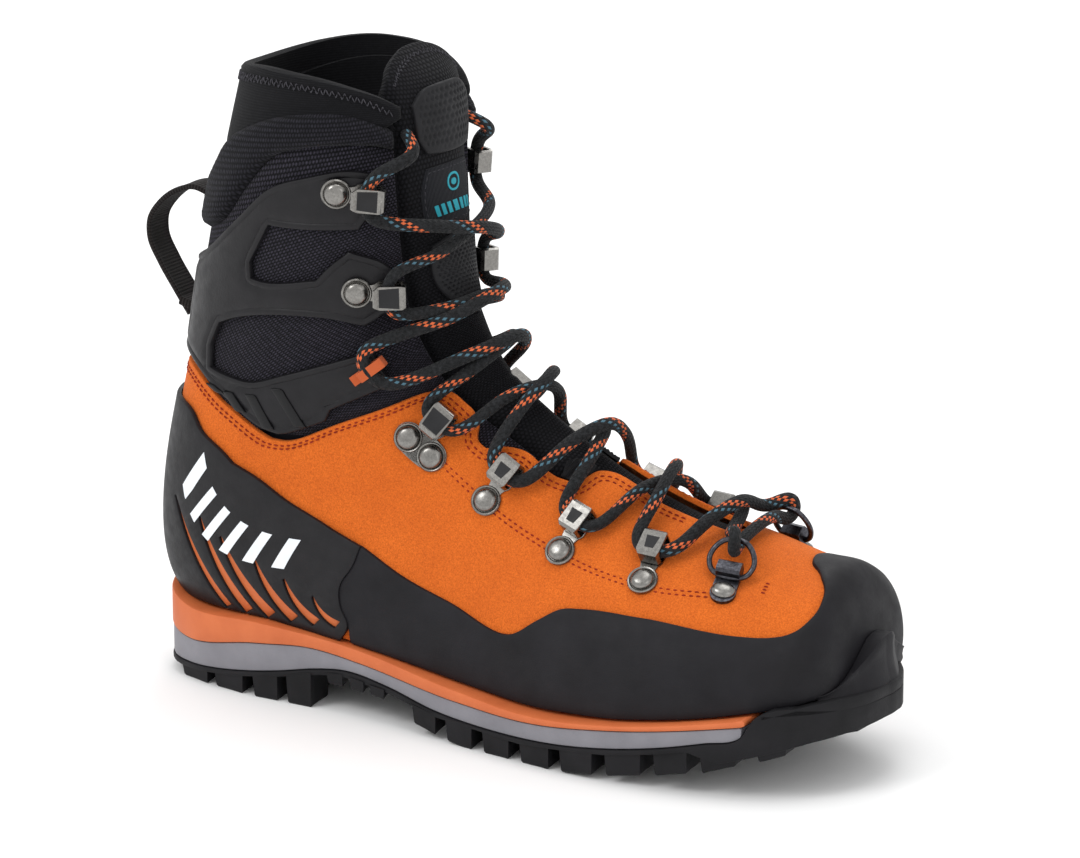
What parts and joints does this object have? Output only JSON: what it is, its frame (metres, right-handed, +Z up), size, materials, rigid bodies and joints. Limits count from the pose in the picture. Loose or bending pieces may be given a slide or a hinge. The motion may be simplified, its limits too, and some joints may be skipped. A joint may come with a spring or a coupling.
{
  "type": "mountaineering boot",
  "caption": "High mountaineering boot with suede upper, rubber rand, moulded heel cage, padded cuff that flexes at the ankle, criss-cross lace on metal hooks and lugged sole.",
  "frame": {"origin": "middle of the bounding box in plan, on the ground plane under the lugs", "axes": "+X towards the toe, +Z up, -Y the outer (lateral) side of a right foot"},
  "size_m": [0.3105, 0.1047, 0.2432],
  "materials": {
    "suede": "nubuck suede leather, brushed",
    "rand_rubber": "textured rubber foil, matt",
    "cage_tpu": "moulded polyurethane, satin",
    "exo_tpu": "moulded overlay with embossed borders, matt",
    "cuff_textile": "woven textile",
    "sock_knit": "stretch knit",
    "collar_padding": "ribbed padded textile",
    "midsole_orange": "foamed polyurethane, matt",
    "midsole_grey": "foamed polyurethane, matt",
    "outsole_rubber": "vulcanised rubber, matt",
    "lining": "knitted lining",
    "board": "fibre board",
    "shank_steel": "plain steel",
    "nickel": "antique nickel",
    "gunmetal": "gunmetal",
    "webbing_black": "woven webbing",
    "webbing_orange": "woven webbing",
    "lace_cord": "round braided cord, charcoal with orange and blue-grey flecks",
    "label_cloth": "woven label",
    "footbed_foam": "felt covered foam"
  },
  "bodies": {
    "lower": {"outsole": "outsole_rubber", "midsole_frame": "midsole_orange", "midsole_wedge": "midsole_grey", "toe_welt": "outsole_rubber", "toe_bumper": "rand_rubber", "insole_board": "board", "shank": "shank_steel", "suede_upper": "suede", "rand": "rand_rubber", "heel_cage": "cage_tpu", "toe_puff": "board", "heel_counter": "board", "lining_lower": "lining", "tongue_lower": "cuff_textile", "ankle_gusset": "cuff_textile", "lace": "lace_cord", "toe_clip_outer": "gunmetal", "toe_clip_inner": "gunmetal", "eyelet_lower_outer": "nickel", "eyelet_lower_inner": "nickel", "eyelet_middle_outer": "nickel", "eyelet_middle_inner": "nickel", "eyelet_upper_outer": "nickel", "eyelet_upper_inner": "nickel", "rivet_eyelet_lower_outer": "nickel", "rivet_eyelet_lower_inner": "nickel", "rivet_eyelet_middle_outer": "nickel", "rivet_eyelet_middle_inner": "nickel", "rivet_eyelet_upper_outer": "nickel", "rivet_eyelet_upper_inner": "nickel", "ankle_hook_outer": "nickel", "ankle_hook_inner": "nickel", "ankle_rivet_low_outer": "nickel", "ankle_rivet_low_inner": "nickel", "ankle_rivet_high_outer": "nickel", "ankle_rivet_high_inner": "nickel", "ankle_loop_outer": "webbing_orange", "ankle_loop_inner": "webbing_orange"},
    "cuff": {"cuff_shell": "cuff_textile", "exo_cage": "exo_tpu", "collar_roll": "collar_padding", "sock_collar": "sock_knit", "collar_hem": "sock_knit", "tongue_upper": "cuff_textile", "tongue_pad_lower": "collar_padding", "tongue_label": "label_cloth", "tongue_pad_top": "collar_padding", "cuff_hook_lower_outer": "nickel", "cuff_hook_lower_inner": "nickel", "cuff_hook_upper_outer": "nickel", "cuff_hook_upper_inner": "nickel", "rivet_cuff_hook_lower_outer": "nickel", "rivet_cuff_hook_lower_inner": "nickel", "rivet_cuff_hook_upper_outer": "nickel", "rivet_cuff_hook_upper_inner": "nickel"},
    "ring_outer": {"d_ring_outer": "gunmetal"},
    "ring_inner": {"d_ring_inner": "gunmetal"},
    "loop": {"pull_loop": "webbing_black"},
    "bed": {"footbed": "footbed_foam"}
  },
  "joints": [
    {"name": "cuff_flex", "type": "hinge", "parent": "lower", "child": "cuff", "pos_m": [-0.0633, 0.0046, 0.108], "axis": [0, 1, 0], "range_deg": [-10, 15], "stiffness_Nm_per_rad": 25, "deforming": ["ankle_gusset", "exo_cage", "lace"]},
    {"name": "ring_outer_swing", "type": "hinge", "parent": "lower", "child": "ring_outer", "pos_m": [0.10191, -0.01807, 0.07498], "axis": [-0.9711, -0.2122, 0.109], "range_deg": [-15, 15], "deforming": ["lace"]},
    {"name": "ring_inner_swing", "type": "hinge", "parent": "lower", "child": "ring_inner", "pos_m": [0.10158, 0.03257, 0.07568], "axis": [-0.9812, 0.1925, 0.0117], "range_deg": [-15, 15], "deforming": ["lace"]},
    {"name": "pull_loop_swing", "type": "hinge", "parent": "cuff", "child": "loop", "pos_m": [-0.1318, 0.0046, 0.158], "axis": [0.2121, 0, 0.9773], "range_deg": [-20, 20], "stiffness_Nm_per_rad": 0.05},
    {"name": "footbed_lift", "type": "hinge", "parent": "lower", "child": "bed", "pos_m": [0.13, 0.0046, 0.038], "axis": [0, 1, 0], "range_deg": [0, 6]}
  ]
}
